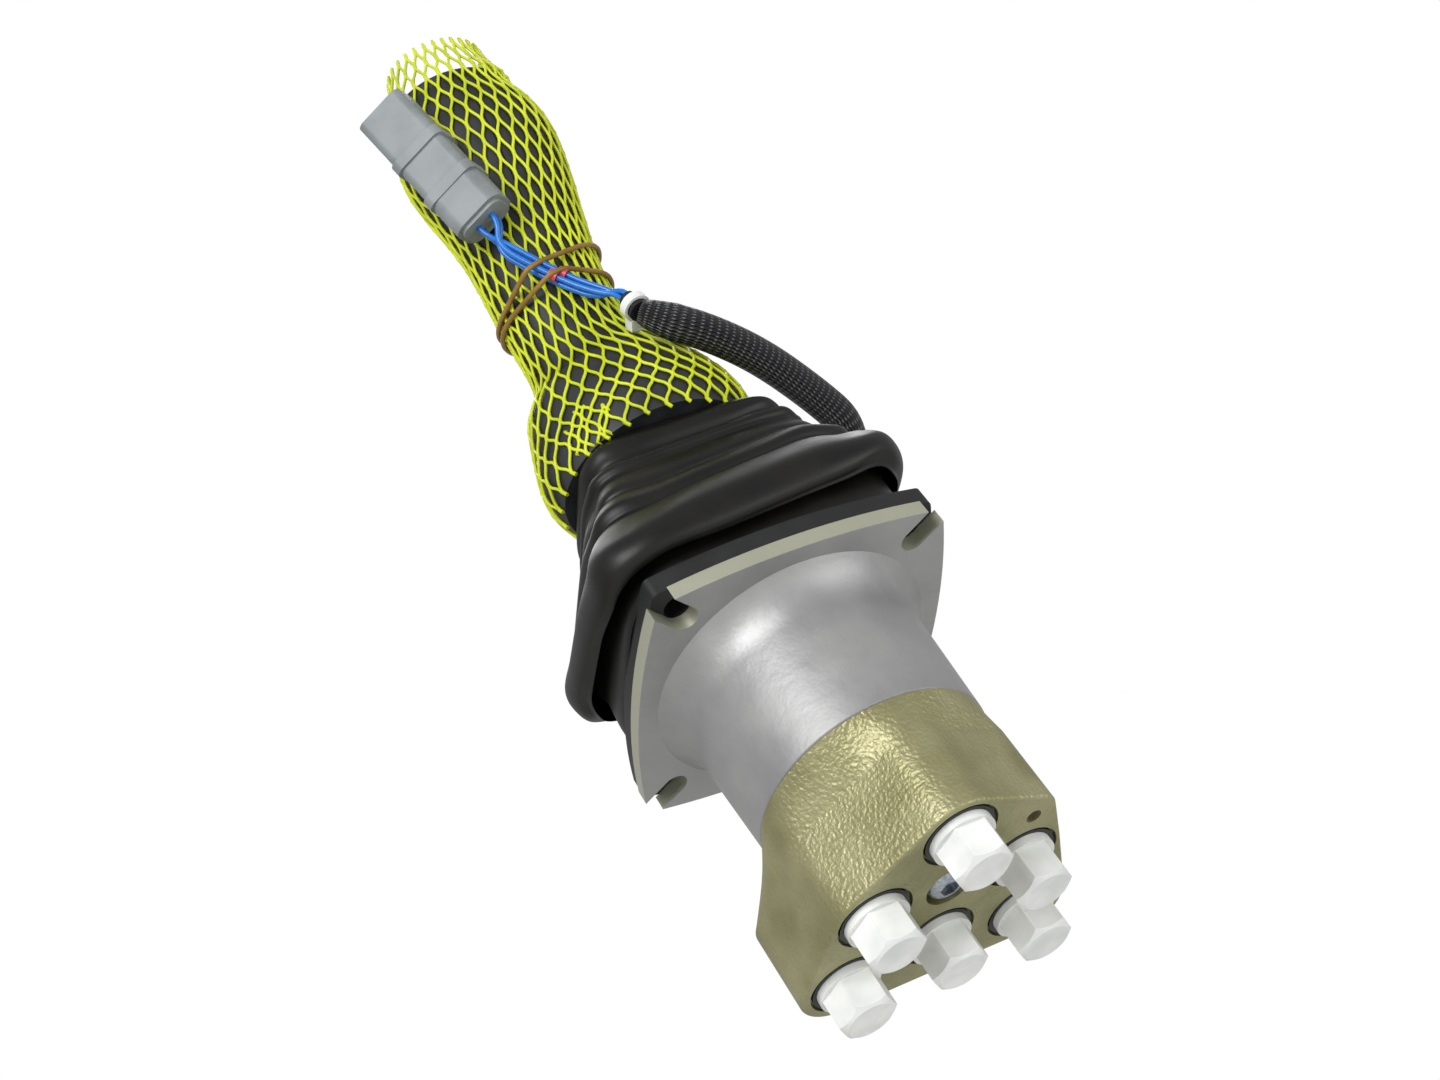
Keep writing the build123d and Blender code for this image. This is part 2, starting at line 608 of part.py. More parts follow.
def make_top_plate():
    """Cover of the grip with a well for each thumb button."""
    s, x, a, b = GRIP_SECTIONS[-1]
    plate = extrude(Ellipse(a, b), TOP_T)
    plate = fillet(plate.faces().sort_by(Axis.Z)[-1].edges(), 2.0)
    well = Cylinder(BUTTON_R + RUNNING, 4 * TOP_T)
    sleeve = tube(BUTTON_R + 1.6, BUTTON_R + RUNNING, -BUTTON_H + TOP_T, 1.0)
    for side in (-1, 1):
        plate += Pos(side * BUTTON_SPAN, 0, 0) * sleeve
        plate -= Pos(side * BUTTON_SPAN, 0, 0) * well
    return lean_plane(s, x) * plate


def make_button(side):
    """Thumb button with a domed top."""
    button = rod(BUTTON_R, BUTTON_RISE - BUTTON_H, BUTTON_RISE)
    return button_frame(side) * fillet(edges_at(button, BUTTON_RISE), 1.6)


def net_form(grow):
    """Hand rest, grip and the tail beyond them, grown outwards all round."""
    tail = [(GRIP_TOP + TOP_T, *GRIP_SECTIONS[-1][1:])] + NET_TAIL
    form = grip_loft(REST_SECTIONS, grow) + grip_loft(GRIP_SECTIONS, grow)
    return form + grip_loft([GRIP_SECTIONS[-1], tail[0]], grow) + grip_loft(tail, grow)


def make_net_sleeve():
    """Protective net over grip and hand rest, as the thin tube that it fills."""
    net = net_form(NET_CLEAR + NET_T) - net_form(NET_CLEAR)
    return net - below_rest() - grommet_bore()


# ------------------------------------------------------------------ frame and boot


def make_boot_frame():
    """Moulded frame between flange and boot, drilled for the mounting bolts."""
    frame = Pos(0, 0, FLANGE_T) * extrude(bowed_square(FLANGE_HALF + FRAME_EXTRA), FRAME_T)
    frame -= rod(FRAME_HOLE_R, FLANGE_T - 1, FRAME_Z + 1)
    for i in (-1, 1):
        for j in (-1, 1):
            frame -= rod(FRAME_BOLT_R, FLANGE_T - 1, FRAME_Z + 1, i * BOLT_HALF, j * BOLT_HALF)
    return frame


# height and half width of each fold of the bellows, from the skirt up to the neck
BOOT_FOLDS = [
    [(15.0, 56.5), (19.0, 59.5), (25.0, 59.5), (33.0, 56.0), (40.0, 51.5), (42.0, 48.5)],
    [(42.0, 48.5), (46.0, 49.5), (52.0, 48.5), (60.0, 45.0), (66.0, 41.5), (68.0, 39.5)],
    [(68.0, 39.5), (71.0, 40.5), (76.0, 40.5), (82.0, 38.5), (86.0, 36.5)],
]
BOOT_RIM, RIM_HALF = BOOT_FOLDS[0][0]
BOOT_TOP = BOOT_FOLDS[-1][-1][0]


def boot_tilt(z, half):
    """Frame of a section that is at height z at its front left and climbs from there."""
    share = (BOOT_TOP - z) / (BOOT_TOP - BOOT_RIM)
    right, rear = BOOT_RISE_RIGHT * share / 2, BOOT_RISE_REAR * share / 2
    pitch = math.degrees(math.atan(rear / (half - BOOT_NARROW)))
    roll = math.degrees(math.atan(right / half))
    sway = BOOT_SWAY * (z - BOOT_RIM) - BOOT_LEFT
    return Pos(sway, -BOOT_BACK, z + right + rear) * Rot(pitch, -roll, 0)


def boot_below(z):
    """All that lies under the tilted section at height z."""
    return boot_tilt(z, RIM_HALF) * Pos(0, 0, -150) * Box(300, 300, 300)


def boot_section(z, half, inset=0.0):
    """Rounded rectangular section of the bellows, its front left at height z."""
    width, depth = half - inset, half - BOOT_NARROW - inset
    face = RectangleRounded(2 * width, 2 * depth, half * BOOT_ROUND - inset)
    return boot_tilt(z, half) * face


def boot_loft(levels, inset=0.0):
    return loft([boot_section(z, half, inset) for z, half in levels])


def between(low, high):
    """A wide horizontal slice from low to high."""
    return Pos(0, 0, (low + high) / 2) * Box(300, 300, high - low)


def hem_block(inset, low, high):
    """The block of the hem, or with an inset the room inside it."""
    face = RectangleRounded(2 * (HEM_HALF_W - inset), 2 * (HEM_HALF_D - inset), HEM_R - inset)
    return Pos(0, -BOOT_BACK, low) * extrude(face, high - low)


def make_boot():
    """Rubber bellows: neck, folds, overhanging skirt and the hem that stands on the frame."""
    web_top = HEM_TOP + BOOT_WALL
    forms = [boot_loft(levels) for levels in BOOT_FOLDS]
    rooms = [boot_loft(levels, BOOT_WALL) for levels in BOOT_FOLDS]
    boot = forms[0] + forms[1] + forms[2] - (rooms[0] & boot_below(HEM_TOP))
    boot += hem_block(0, FRAME_Z, BOOT_TOP) & boot_below(web_top)
    boot -= hem_block(BOOT_WALL, FRAME_Z - 1, BOOT_TOP) & boot_below(web_top + 0.5)
    boot -= rooms[0] - boot_below(web_top)
    boot -= rooms[1]
    boot -= rooms[2] & between(0, BOOT_TOP - BOOT_WALL)
    return boot - lean_plane(0) * Cylinder(NECK_R, 200)


# ------------------------------------------------------------------ harness

LOOM_POINTS = [(25, 17, 106), (38, 33, 106), (50, 40, 94), (62, 31, 82), (70, 13, 80), (71, -5, 87)]
LOOM_LEAN = [(39.0, 61.4, 5.0), (51.0, 42.6, 20.6), (59.5, 24.5, 31.5), (66.0, 12.9, 34.4)]
ZIP_AT, ZIP_TO = (74.0, 5.0, 33.4), (82.0, 4.0, 31.0)
WIRE_LEAN = [(89.5, -0.6, 26.0), (98.0, -7.4, 23.4), (109.0, -15.6, 22.4), (121.6, -24.6, 22.4)]
PLUG_REAR, PLUG_MOUTH = (132.0, -25.9, 24.6), (187.7, -41.7, 26.4)


def routed_tube(points, radius):
    """A round cord along straight runs, with each corner turned by as large an arc as its runs allow."""
    edges, reached = [], points[0]
    for before, corner, after in zip(points, points[1:], points[2:]):
        arriving, leaving = (corner - before).normalized(), (after - corner).normalized()
        reach = ARC_SHARE * min((corner - before).length, (after - corner).length)
        half_turn = math.acos(arriving.dot(leaving)) / 2
        bend = reach / math.tan(half_turn)
        inward = (leaving - arriving).normalized()
        start, end = corner - arriving * reach, corner + leaving * reach
        middle = corner + inward * (bend / math.cos(half_turn) - bend)
        edges += [Line(reached, start), ThreePointArc(start, middle, end)]
        reached = end
    edges.append(Line(reached, points[-1]))
    face = Plane(origin=points[0], z_dir=points[1] - points[0]) * Circle(radius)
    return sweep(face, Wire(edges))


def make_loom_sleeve():
    """Braided loom from the hand rest round to the front, narrowing to its tied end."""
    points = [Vector(*p) for p in LOOM_POINTS] + [Vector(*lean_point(*p)) for p in LOOM_LEAN]
    foot = Plane(origin=points[-1], z_dir=points[-1] - points[-2])
    taper = loft([foot * Circle(LOOM_R), zip_plane() * Circle(LOOM_END_R)])
    return routed_tube(points, LOOM_R) + taper


def zip_plane():
    """A plane across the loom's tied end, facing the wires."""
    start, end = Vector(*lean_point(*ZIP_AT)), Vector(*lean_point(*ZIP_TO))
    return Plane(origin=start, z_dir=end - start)


def make_zip_tie():
    """Cable tie round the shrink sleeve, with its square lock."""
    band = Pos(0, 0, 3.4) * (Cylinder(LOOM_END_R + 1.1, 3.2) - Cylinder(LOOM_END_R, 4))
    lock = Pos(0, ZIP_LOCK_SIDE * (LOOM_END_R + 2.8), 3.4) * Box(5.0, 4.4, 4.2)
    return zip_plane() * (band + lock)


def make_heat_shrink():
    """Shrink sleeve from the loom's end to the wires."""
    plane = zip_plane()
    length = (Vector(*lean_point(*ZIP_TO)) - plane.origin).length
    return loft([plane * Circle(LOOM_END_R), plane.offset(length) * Circle(LOOM_END_R - 1.0)])


def plug_plane(along=0.0):
    """Connector frame: z towards its mouth, y out of its back, x across."""
    rear, mouth = Vector(*lean_point(*PLUG_REAR)), Vector(*lean_point(*PLUG_MOUTH))
    axis = (mouth - rear).normalized()
    a, roll = math.radians(LEAN), math.radians(CONNECTOR_ROLL)
    front = Vector(0, -math.cos(a), -math.sin(a)) * math.cos(roll) + Vector(-1, 0, 0) * math.sin(roll)
    across = front.cross(axis).normalized()
    return Plane(origin=rear + axis * along, x_dir=across, z_dir=axis)


def block(width, thick, low, high, corner):
    return Pos(0, 0, low) * extrude(RectangleRounded(width, thick, corner), high - low)


def make_connector_shell():
    """Four-way connector housing with its open mouth, collar and latch boss."""
    shell = block(CONNECTOR_W - 2, CONNECTOR_T - 2, CONNECTOR_CAP_L, CONNECTOR_L, 3.0)
    shell += block(CONNECTOR_W, CONNECTOR_T, CONNECTOR_CAP_L, CONNECTOR_CAP_L + 4, 3.5)
    shell += block(CONNECTOR_W, CONNECTOR_T, CONNECTOR_L - 24, CONNECTOR_L - 20, 3.5)
    shell += Pos(0, -CONNECTOR_T / 2, CONNECTOR_L - 11) * Box(10, 3.0, 15)
    inner_w, inner_t = CONNECTOR_W - 2 - 2 * CONNECTOR_WALL, CONNECTOR_T - 2 - 2 * CONNECTOR_WALL
    shell -= block(inner_w, inner_t, CONNECTOR_L - SOCKET_D, CONNECTOR_L + 1, 2.0)
    return plug_plane() * shell


def make_connector_wedge():
    """Secondary lock at the socket's floor, with the four pins."""
    floor = CONNECTOR_L - SOCKET_D
    wedge = block(12.0, 8.0, floor, floor + WEDGE_H, 1.0)
    for x in (-PIN_X, PIN_X):
        for y in (-PIN_Y, PIN_Y):
            wedge += rod(PIN_R, floor + WEDGE_H, floor + WEDGE_H + PIN_L, x, y)
    return plug_plane() * wedge


def make_connector_end_cap():
    """Rear section of the connector, where the wires go in."""
    cap = block(CONNECTOR_W - 1, CONNECTOR_T - 1, 1.5, CONNECTOR_CAP_L, 5.0)
    cap += block(CONNECTOR_W - 4, CONNECTOR_T - 4, 0, 1.5, 4.0)
    return plug_plane() * cap


def wire_route(i):
    """Points of one wire from the shrink sleeve to the back of the connector."""
    u, v = (-1, 1, -1, 1)[i], (-1, -1, 1, 1)[i]
    start, end = Vector(*lean_point(*ZIP_TO)), plug_plane()
    bundle = Plane(origin=start, z_dir=start - Vector(*lean_point(*ZIP_AT)))
    first = start + bundle.x_dir * (1.25 * u) + bundle.y_dir * (1.25 * v)
    last = end.origin + end.x_dir * (PIN_X * u) + end.y_dir * (PIN_Y * v)
    middle = [Vector(*lean_point(s, x + WIRE_SPREAD_X * u, out + WIRE_SPREAD_OUT * v)) for s, x, out in WIRE_LEAN]
    return [first, first + bundle.z_dir * WIRE_LEAD, *middle, last - end.z_dir * WIRE_LEAD, last]


def make_wire(i):
    """One insulated wire along its route."""
    return routed_tube(wire_route(i), WIRE_R)


def make_splice(i):
    """Crimp splice halfway along one run of a wire, with its coloured sleeve."""
    before, after = wire_route(i)[SPLICES[i]:SPLICES[i] + 2]
    plane = Plane(origin=(before + after) / 2, z_dir=after - before)
    return plane * (Cylinder(WIRE_R + 0.9, SPLICE_L) - Cylinder(WIRE_R + 0.5, SPLICE_L + 1))


def grommet_plane():
    start, after = Vector(*LOOM_POINTS[0]), Vector(*LOOM_POINTS[1])
    return Plane(origin=start, z_dir=after - start)


def grommet_bore():
    """The hole that the grommet fills in hand rest and net."""
    return grommet_plane() * Cylinder(GROMMET_R, 20.0)


def make_grommet():
    """Rubber grommet where the loom leaves the hand rest."""
    sleeve = Cylinder(GROMMET_R, 9.0) - Cylinder(LOOM_R + LOCATING, 12.0)
    return grommet_plane() * (Pos(0, 0, -1.0) * sleeve)


def make_band(level, tilt):
    """Rubber band round the netted waist and over the wires, as a tilted oval ring."""
    loop = Ellipse(BAND_HALF_W / math.cos(math.radians(tilt)), BAND_HALF_D).edge()
    ring = sweep(Plane(loop @ 0, z_dir=loop % 0) * RegularPolygon(BAND_R, 6), loop)
    return lean_plane(level, BAND_X) * Pos(0, -BAND_OUT, 0) * Rot(0, -tilt, 0) * ring


def main():
    save("flange_housing", make_flange_housing())
    save("cast_body", make_cast_body())
    save("centre_bolt", make_centre_bolt())
    save("bolt_washer", make_bolt_washer())
    save("chamber_seals", *[make_chamber_seal(x, y) for x, y in SIDES.values()])
    save("plunger_plate", make_plunger_plate())
    save("guide_bushes", *[make_guide_bush(x, y) for x, y in SIDES.values()])
    save("wiper_seals", *[make_wiper(x, y) for x, y in SIDES.values()])
    save("port_plugs", *[make_port_plug(x, y) for x, y in PORTS])
    save("plug_seals", *[make_plug_seal(x, y) for x, y in PORTS])
    for side, (x, y) in SIDES.items():
        save(f"plunger_{side}", make_plunger(x, y))
        save(f"spring_seat_{side}", make_spring_seat(x, y))
        save(f"spool_{side}", make_spool(x, y))
        returning = make_spring(RETURN_R, RETURN_WIRE, RETURN_COILS, FLOOR_Z, SEAT_LOW, x, y)
        metering = make_spring(METERING_R, METERING_WIRE, METERING_COILS, SPOOL_TOP, SEAT_LOW, x, y)
        save(f"return_spring_{side}", returning)
        save(f"metering_spring_{side}", metering)
    save("joint_stud", make_joint_stud())
    save("joint_cross", make_joint_cross())
    save("upper_yoke", make_upper_yoke())
    save("actuating_disc", make_actuating_disc())
    save("disc_nut", make_disc_nut())
    save("lever_stem", make_lever_stem())
    save("boot_frame", make_boot_frame())
    save("boot", make_boot())
    save("hand_rest", make_hand_rest())
    shell = hollow_grip()
    save("grip_left", make_grip_half(shell, -1))
    save("grip_right", make_grip_half(shell, 1))
    save("grip_screws", *[grip_screw(s, GRIP_SCREW_HEAD_H) for s in RIB_PLACES])
    save("top_plate", make_top_plate())
    save("button_left", make_button(-1))
    save("button_right", make_button(1))
    save("net_sleeve", make_net_sleeve())
    save("loom_sleeve", make_loom_sleeve())
    save("cable_grommet", make_grommet())
    save("zip_tie", make_zip_tie())
    save("heat_shrink", make_heat_shrink())
    save("harness_wires", *[make_wire(i) for i in range(4)])
    save("wire_splices", *[make_splice(i) for i in SPLICES])
    save("connector_shell", make_connector_shell())
    save("connector_wedge", make_connector_wedge())
    save("connector_end_cap", make_connector_end_cap())
    save("rubber_bands", make_band(112.5, 20.0), make_band(104.0, 8.0))


main()
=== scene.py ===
"""Looks of the hydraulic pilot joystick valve, in metres and in the frame of its CAD part.

+Z runs up along the lever and -Y is the front. The CAD nodes keep their shapes and get their
finishes here. The boot, the net, the loom, its wires and the rubber bands are built again in detail.
"""

import math
import random

import bpy
from mathutils import Euler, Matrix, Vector, noise
from mathutils.bvhtree import BVHTree


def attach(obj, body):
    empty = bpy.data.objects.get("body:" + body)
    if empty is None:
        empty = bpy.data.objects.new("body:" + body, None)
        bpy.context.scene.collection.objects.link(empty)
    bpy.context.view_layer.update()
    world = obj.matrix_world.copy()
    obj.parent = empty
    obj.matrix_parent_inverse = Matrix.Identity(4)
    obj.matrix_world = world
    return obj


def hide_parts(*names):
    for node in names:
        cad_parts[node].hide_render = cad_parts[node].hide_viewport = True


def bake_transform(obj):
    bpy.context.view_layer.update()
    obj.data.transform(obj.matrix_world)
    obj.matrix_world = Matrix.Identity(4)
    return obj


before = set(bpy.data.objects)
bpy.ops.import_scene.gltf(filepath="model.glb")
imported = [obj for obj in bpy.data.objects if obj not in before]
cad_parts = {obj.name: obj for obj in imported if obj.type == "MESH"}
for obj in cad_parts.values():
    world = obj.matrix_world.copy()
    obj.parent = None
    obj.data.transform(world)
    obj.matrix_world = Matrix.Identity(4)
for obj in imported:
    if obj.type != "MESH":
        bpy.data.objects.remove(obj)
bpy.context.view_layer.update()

MM = 0.001
LEAN = math.radians(15)  # the grip leans this far to the front
LEAN_Z = 60.0  # where the leaning axis crosses the valve's axis


def lean_point(s, x, out):
    """A place s along the leaning axis, x to the right and out in front of it, from millimetres."""
    y = -s * math.sin(LEAN) - out * math.cos(LEAN)
    z = LEAN_Z + s * math.cos(LEAN) - out * math.sin(LEAN)
    return Vector((x, y, z)) * MM


# ------------------------------------------------------------------ finishes


def colour(code):
    """An sRGB hex colour as linear red, green, blue and alpha."""
    parts = [int(code[i:i + 2], 16) / 255 for i in (1, 3, 5)]
    return (*[c / 12.92 if c <= 0.04045 else ((c + 0.055) / 1.055) ** 2.4 for c in parts], 1.0)


def per_mm(size):
    """Texture scale that gives features of this many millimetres."""
    return 1 / (size * MM)


def add(tree, kind, **given):
    """Adds one node. A given name is a property, or an input with _ for a space or its number after in_."""
    made = tree.nodes.new("ShaderNode" + kind)
    for name, value in given.items():
        if hasattr(made, name):
            setattr(made, name, value)
            continue
        place = made.inputs[int(name[3:]) if name.startswith("in_") else name.replace("_", " ")]
        if isinstance(value, bpy.types.NodeSocket):
            tree.links.new(value, place)
        else:
            place.default_value = value
    return made


def blank(name):
    """A new material: itself, its nodes and the object coordinates."""
    made = bpy.data.materials.new(name)
    made.use_nodes = True
    made.node_tree.nodes.clear()
    return made, made.node_tree, add(made.node_tree, "TexCoord").outputs["Object"]


def close(made, **surface):
    """Ends a material with its shader."""
    tree = made.node_tree
    shader = add(tree, "BsdfPrincipled", **surface)
    add(tree, "OutputMaterial", Surface=shader.outputs[0])
    return made


def tones(tree, factor, dark, light, low=0.35, high=0.65):
    """Colours from dark to light as the factor goes from low to high."""
    share = add(tree, "MapRange", Value=factor, From_Min=low, From_Max=high)
    return add(tree, "Mix", data_type="RGBA", in_0=share.outputs[0], in_6=colour(dark), in_7=colour(light)).outputs[2]


def levels(tree, factor, low, high):
    """A number from low to high as the factor goes from 0.3 to 0.7."""
    return add(tree, "MapRange", Value=factor, From_Min=0.3, From_Max=0.7, To_Min=low, To_Max=high).outputs[0]


def sand_cast_iron():
    """Grey iron from a coarse sand mould, zinc plated and passivated olive: pebbled, with a metallic lustre."""
    made, tree, place = blank("sand_cast_iron_olive_passivated")
    pebble = add(tree, "TexNoise", Vector=place, Scale=per_mm(1.25), Detail=1.0, Roughness=0.4).outputs[0]
    grit = add(tree, "TexNoise", Vector=place, Scale=per_mm(0.6), Detail=2.0, Roughness=0.5).outputs[0]
    stain = add(tree, "TexNoise", Vector=place, Scale=per_mm(20.0), Detail=2.0).outputs[0]
    relief = add(tree, "Bump", Strength=0.9, Distance=0.42 * MM, Height=pebble)
    relief = add(tree, "Bump", Strength=0.5, Distance=0.14 * MM, Height=grit, Normal=relief.outputs[0])
    return close(made, Base_Color=tones(tree, stain, "#89865F", "#A09C76"), Metallic=0.55,
                 Roughness=levels(tree, grit, 0.36, 0.48), Normal=relief.outputs[0])


def die_cast_aluminium():
    """Aluminium from a steel die: grey and mottled by the melt's flow, with the rim of the flange sawn bright."""
    made, tree, place = blank("die_cast_aluminium")
    flow = add(tree, "TexNoise", Vector=place, Scale=per_mm(26.0), Detail=5.0, Roughness=0.55).outputs[0]
    skin = add(tree, "TexNoise", Vector=place, Scale=per_mm(1.1), Detail=3.0).outputs[0]
    spots = add(tree, "TexNoise", Vector=place, Scale=per_mm(4.0), Detail=2.0).outputs[0]
    base = tones(tree, flow, "#9B9B9C", "#ABABAA", 0.3, 0.7)
    height = add(tree, "SeparateXYZ", Vector=place).outputs[2]
    on_flange = add(tree, "MapRange", Value=height, From_Min=-1.2 * MM, From_Max=-0.4 * MM).outputs[0]
    upright = add(tree, "SeparateXYZ", Vector=add(tree, "TexCoord").outputs["Normal"]).outputs[2]
    sideways = add(tree, "MapRange", Value=add(tree, "Math", operation="ABSOLUTE", in_0=upright).outputs[0],
                   From_Min=0.6, From_Max=0.3).outputs[0]
    rim = add(tree, "Math", operation="MULTIPLY", in_0=on_flange, in_1=sideways).outputs[0]
    shade = add(tree, "Mix", data_type="RGBA", in_0=rim, in_6=base, in_7=colour("#B4B5A2")).outputs[2]
    relief = add(tree, "Bump", Strength=0.35, Distance=0.12 * MM, Height=skin)
    relief = add(tree, "Bump", Strength=0.4, Distance=0.3 * MM, Height=spots, Normal=relief.outputs[0])
    return close(made, Base_Color=shade, Metallic=0.65, Roughness=levels(tree, flow, 0.42, 0.54), Normal=relief.outputs[0])


def metal(name, dark, light, rough, grain=0.8, metallic=1.0):
    """A machined or drawn metal: fine tool marks and small changes of tone."""
    made, tree, place = blank(name)
    marks = add(tree, "TexNoise", Vector=place, Scale=per_mm(grain), Detail=3.0).outputs[0]
    relief = add(tree, "Bump", Strength=0.2, Distance=0.05 * MM, Height=marks)
    return close(made, Base_Color=tones(tree, marks, dark, light), Metallic=metallic,
                 Roughness=levels(tree, marks, rough, rough + 0.12), Normal=relief.outputs[0])


def moulded(name, dark, light, rough, spark=0.5, depth=0.05, **more):
    """A moulded plastic or rubber: the fine spark texture of its tool, and a slow change of tone."""
    made, tree, place = blank(name)
    texture = add(tree, "TexNoise", Vector=place, Scale=per_mm(spark), Detail=2.0).outputs[0]
    cloud = add(tree, "TexNoise", Vector=place, Scale=per_mm(12.0), Detail=3.0).outputs[0]
    relief = add(tree, "Bump", Strength=0.35, Distance=depth * MM, Height=texture)
    return close(made, Base_Color=tones(tree, cloud, dark, light), Roughness=levels(tree, cloud, rough, rough + 0.1),
                 Normal=relief.outputs[0], **more)


def epdm_rubber():
    """Moulded EPDM rubber: black with a waxy semi-gloss, dust in the folds and a few scuffs."""
    made, tree, place = blank("epdm_rubber_moulded")
    skin = add(tree, "TexNoise", Vector=place, Scale=per_mm(1.6), Detail=3.0).outputs[0]
    cloud = add(tree, "TexNoise", Vector=place, Scale=per_mm(22.0), Detail=4.0, Roughness=0.6).outputs[0]
    dust = add(tree, "TexNoise", Vector=place, Scale=per_mm(2.5), Detail=5.0, Roughness=0.7).outputs[0]
    specks = add(tree, "MapRange", Value=dust, From_Min=0.66, From_Max=0.74, To_Max=0.35).outputs[0]
    base = tones(tree, cloud, "#0A0908", "#12100E")
    shade = add(tree, "Mix", data_type="RGBA", in_0=specks, in_6=base, in_7=colour("#2E2B27")).outputs[2]
    relief = add(tree, "Bump", Strength=0.25, Distance=0.12 * MM, Height=skin)
    return close(made, Base_Color=shade, Roughness=levels(tree, cloud, 0.36, 0.5), Normal=relief.outputs[0],
                 Specular_IOR_Level=0.35)


def polyester_braid():
    """Expandable sleeve braided from flat bundles of black polyester monofilament, with painted highlights: the tops of
    the crossings are painted light grey-blue as glints.
    """
    made, tree, _ = blank("polyester_braid")
    across = add(tree, "TexCoord").outputs["UV"]
    warps = []
    for slope in (1, -1):
        turned = add(tree, "Mapping", Vector=across, Scale=(BRAID_CARRIERS, slope * BRAID_PICKS, 1))
        line = add(tree, "VectorMath", operation="DOT_PRODUCT", in_0=turned.outputs[0], in_1=(1, 1, 0)).outputs["Value"]
        warps.append(add(tree, "Math", operation="SINE", in_0=add(tree, "Math", operation="MULTIPLY", in_0=line,
                                                                   in_1=2 * math.pi).outputs[0]).outputs[0])
    weave = add(tree, "Math", operation="MULTIPLY", in_0=warps[0], in_1=warps[1]).outputs[0]
    # painted highlight: the tops of the crossings are painted a light grey-blue as glints over the black braid
    painted_glint = add(tree, "MapRange", Value=weave, From_Min=0.45, From_Max=0.95).outputs[0]
    shade = add(tree, "Mix", data_type="RGBA", in_0=painted_glint, in_6=colour("#060607"), in_7=colour("#6A6E76")).outputs[2]
    relief = add(tree, "Bump", Strength=0.9, Distance=0.5 * MM, Height=weave)
    return close(made, Base_Color=shade, Roughness=0.36, Normal=relief.outputs[0])


BRAID_CARRIERS = 16  # bundles each way round the loom
BRAID_PICKS = 180  # crossings along a metre of it
FINISHES = {
    "cast iron": sand_cast_iron(),
    "aluminium": die_cast_aluminium(),
    "zinc plate": metal("zinc_plated_steel_blue_passivated", "#8E969E", "#B7BEC4", 0.28),
    "turned steel": metal("turned_steel", "#7E8082", "#9C9EA0", 0.3),
    "ground steel": metal("ground_hardened_steel", "#A0A2A4", "#B8BABC", 0.16, 0.3),
    "spring wire": metal("oiled_spring_wire", "#55565A", "#6E7074", 0.34),
    "bronze": metal("cast_bronze", "#8A6B3A", "#A5834C", 0.34),
    "boot rubber": epdm_rubber(),
    "seal rubber": moulded("nitrile_rubber_seal", "#141414", "#1E1E1E", 0.42),
    "nylon": moulded("natural_nylon", "#DADCDA", "#ECEDEB", 0.38, 0.9, 0.04, Subsurface_Weight=0.15,
                     Subsurface_Radius=(0.004, 0.004, 0.004)),
    "grip": moulded("glass_filled_nylon", "#1D1F21", "#2A2C2F", 0.5, 0.6, 0.08),
    "frame plate": moulded("black_acetal_plate", "#131415", "#1C1D1E", 0.5),
    "shrink": moulded("polyolefin_shrink_sleeve", "#101011", "#1A1A1C", 0.55),
    "net": moulded("polyethylene_net", "#B9C60C", "#CFDA1E", 0.34, 0.8, 0.04, Subsurface_Weight=0.1,
                   Subsurface_Radius=(0.002, 0.002, 0.001)),
    "braid": polyester_braid(),
    "wire": moulded("pvc_wire_insulation", "#1560B4", "#2273CB", 0.2, 1.2, 0.02),
    "splice": moulded("vinyl_splice_sleeve", "#C43340", "#DE4C55", 0.28),
    "connector": moulded("pbt_connector", "#747A7C", "#868C8E", 0.42, 0.5, 0.04),
    "wedge": moulded("pbt_wedge", "#5A6063", "#686E71", 0.46),
    "band": moulded("natural_rubber_band", "#7A5C1E", "#96742F", 0.4, 0.7, 0.06),
}
NODES = {
    "cast iron": ["cast_body"],
    "aluminium": ["flange_housing"],
    "zinc plate": ["centre_bolt", "bolt_washer", "grip_screws"],
    "turned steel": ["plunger_plate", "joint_stud", "joint_cross", "upper_yoke", "actuating_disc", "disc_nut", "lever_stem"],
    "bronze": ["guide_bushes"],
    "boot rubber": ["cable_grommet"],
    "seal rubber": ["chamber_seals", "wiper_seals", "plug_seals"],
    "nylon": ["port_plugs", "zip_tie"],
    "grip": ["hand_rest", "grip_left", "grip_right", "top_plate", "button_left", "button_right"],
    "frame plate": ["boot_frame"],
    "shrink": ["heat_shrink"],
    "splice": ["wire_splices"],
    "connector": ["connector_shell", "connector_end_cap"],
    "wedge": ["connector_wedge"],
}
for side in ("front", "right", "rear", "left"):
    NODES.setdefault("ground steel", []).extend([f"plunger_{side}", f"spool_{side}"])
    NODES.setdefault("spring wire", []).extend([f"metering_spring_{side}", f"return_spring_{side}"])
    NODES["turned steel"].append(f"spring_seat_{side}")


def paint(thing, name):
    """Gives one finish to a piece or a node."""
    thing.data.materials.clear()
    thing.data.materials.append(FINISHES[name])


for name, members in NODES.items():
    for node in members:
        paint(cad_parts[node], name)

# ------------------------------------------------------------------ making pieces


def mesh_piece(name, finish, points, faces, smooth=True):
    """A mesh from its points and faces."""
    mesh = bpy.data.meshes.new(name)
    mesh.from_pydata(points, [], faces)
    mesh.validate()
    for face in mesh.polygons:
        face.use_smooth = smooth
    piece = bpy.data.objects.new(name, mesh)
    bpy.context.scene.collection.objects.link(piece)
    paint(piece, finish)
    return piece


